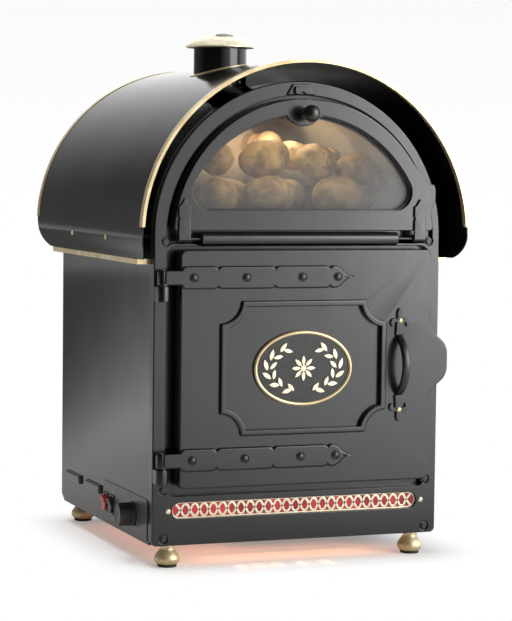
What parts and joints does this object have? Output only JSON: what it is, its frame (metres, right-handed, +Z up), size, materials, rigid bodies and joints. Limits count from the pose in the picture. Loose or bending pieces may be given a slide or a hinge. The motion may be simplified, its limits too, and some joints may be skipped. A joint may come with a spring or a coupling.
{
  "type": "baked potato oven",
  "caption": "Counter-top oven with an arched cast front, side-hung oven door, lit glazed display under a barrel roof, short flue and round brass feet.",
  "frame": {"origin": "on the floor, under the middle of the overall box, roof screws and pull handle included", "axes": "+Z up, front with its doors towards -Y, +X to the right of someone who faces the front"},
  "size_m": [0.523, 0.5814, 0.7979],
  "materials": {
    "cast_front": "satin black paint over a fine sand-cast surface",
    "casing_enamel": "semi-gloss black enamel on sheet steel",
    "roof_enamel": "gloss black enamel on sheet steel",
    "brass": "polished brass",
    "satin_brass": "satin brass",
    "black_steel": "blackened steel",
    "bright_steel": "bright steel",
    "rack_chrome": "chromed wire",
    "liner_steel": "aluminised steel",
    "window_glass": "clear toughened glass",
    "red_lens": "red heat-resistant lens",
    "control_plate": "dark grey painted plate",
    "black_plastic": "black moulded plastic",
    "red_rocker": "translucent red plastic",
    "rubber": "black rubber",
    "blanket": "mineral fibre blanket",
    "gasket": "woven glass-fibre rope",
    "badge_ground": "black enamel ground",
    "badge_relief": "pale brass relief",
    "motor_body": "cast aluminium",
    "lamp": "warm lamp glass",
    "potato": "potato skin"
  },
  "bodies": {
    "cabinet": {"front_casting": "cast_front", "casting_bolts": "black_steel", "display_catch": "cast_front", "fret_grille": "brass", "red_lens": "red_lens", "grille_screws": "brass", "glow_lamp": "lamp", "left_side_panel": "casing_enamel", "right_side_panel": "casing_enamel", "rear_panel": "casing_enamel", "arched_top_panel": "casing_enamel", "base_plate": "casing_enamel", "cable_gland": "black_plastic", "control_plate": "control_plate", "roof_sheet": "roof_enamel", "roof_trims": "brass", "side_strips": "satin_brass", "roof_spacers": "bright_steel", "roof_screws": "bright_steel", "flue_pipe": "roof_enamel", "flue_cap": "brass", "flue_cap_plate": "badge_ground", "brass_feet": "satin_brass", "foot_pads": "rubber", "hinge_lugs": "cast_front", "oven_hinge_pins": "bright_steel", "display_hinge_barrel": "cast_front", "switch_housings": "black_plastic", "thermostat_body": "liner_steel", "oven_liner": "liner_steel", "oven_insulation": "blanket", "rack_runners": "liner_steel", "wire_racks": "rack_chrome", "ring_element": "black_steel", "fan_baffle": "liner_steel", "fan_motor": "motor_body", "display_liner": "liner_steel", "display_floor": "liner_steel", "display_lamp": "lamp", "display_potatoes": "potato"},
    "oven_door": {"oven_door_casting": "cast_front", "oven_door_inner_plate": "liner_steel", "oven_door_gasket": "gasket", "oven_door_straps": "cast_front", "strap_screws": "black_steel", "pull_handle": "black_steel", "handle_screws": "brass", "badge_rim": "badge_relief", "badge_field": "badge_ground", "badge_ornament": "badge_relief"},
    "display_door": {"display_door_frame": "cast_front", "display_glass": "window_glass", "glass_retainer": "liner_steel", "display_door_knob": "black_plastic", "display_straps": "cast_front", "hinge_rod": "black_steel"},
    "oven_switch": {"oven_rocker": "red_rocker"},
    "lamp_switch": {"lamp_rocker": "black_plastic"},
    "heat_control": {"thermostat_knob": "black_plastic"},
    "fan": {"fan_rotor": "liner_steel"}
  },
  "joints": [
    {"name": "oven_door_hinge", "type": "hinge", "parent": "cabinet", "child": "oven_door", "pos_m": [-0.2195, -0.25275, 0.2955], "axis": [0, 0, -1], "range_deg": [0, 115]},
    {"name": "display_door_hinge", "type": "hinge", "parent": "cabinet", "child": "display_door", "pos_m": [0, -0.24875, 0.486], "axis": [1, 0, 0], "range_deg": [0, 90]},
    {"name": "oven_switch_rock", "type": "hinge", "parent": "cabinet", "child": "oven_switch", "pos_m": [-0.225, -0.01475, 0.068], "axis": [0, 1, 0], "range_deg": [0, 18]},
    {"name": "lamp_switch_rock", "type": "hinge", "parent": "cabinet", "child": "lamp_switch", "pos_m": [-0.225, -0.04675, 0.068], "axis": [0, 1, 0], "range_deg": [0, 18]},
    {"name": "heat_control_turn", "type": "hinge", "parent": "cabinet", "child": "heat_control", "pos_m": [-0.235, -0.15175, 0.07], "axis": [-1, 0, 0], "range_deg": [0, 300]},
    {"name": "fan_spin", "type": "hinge", "parent": "cabinet", "child": "fan", "pos_m": [0, 0.15325, 0.29], "axis": [0, 1, 0], "continuous": true}
  ]
}
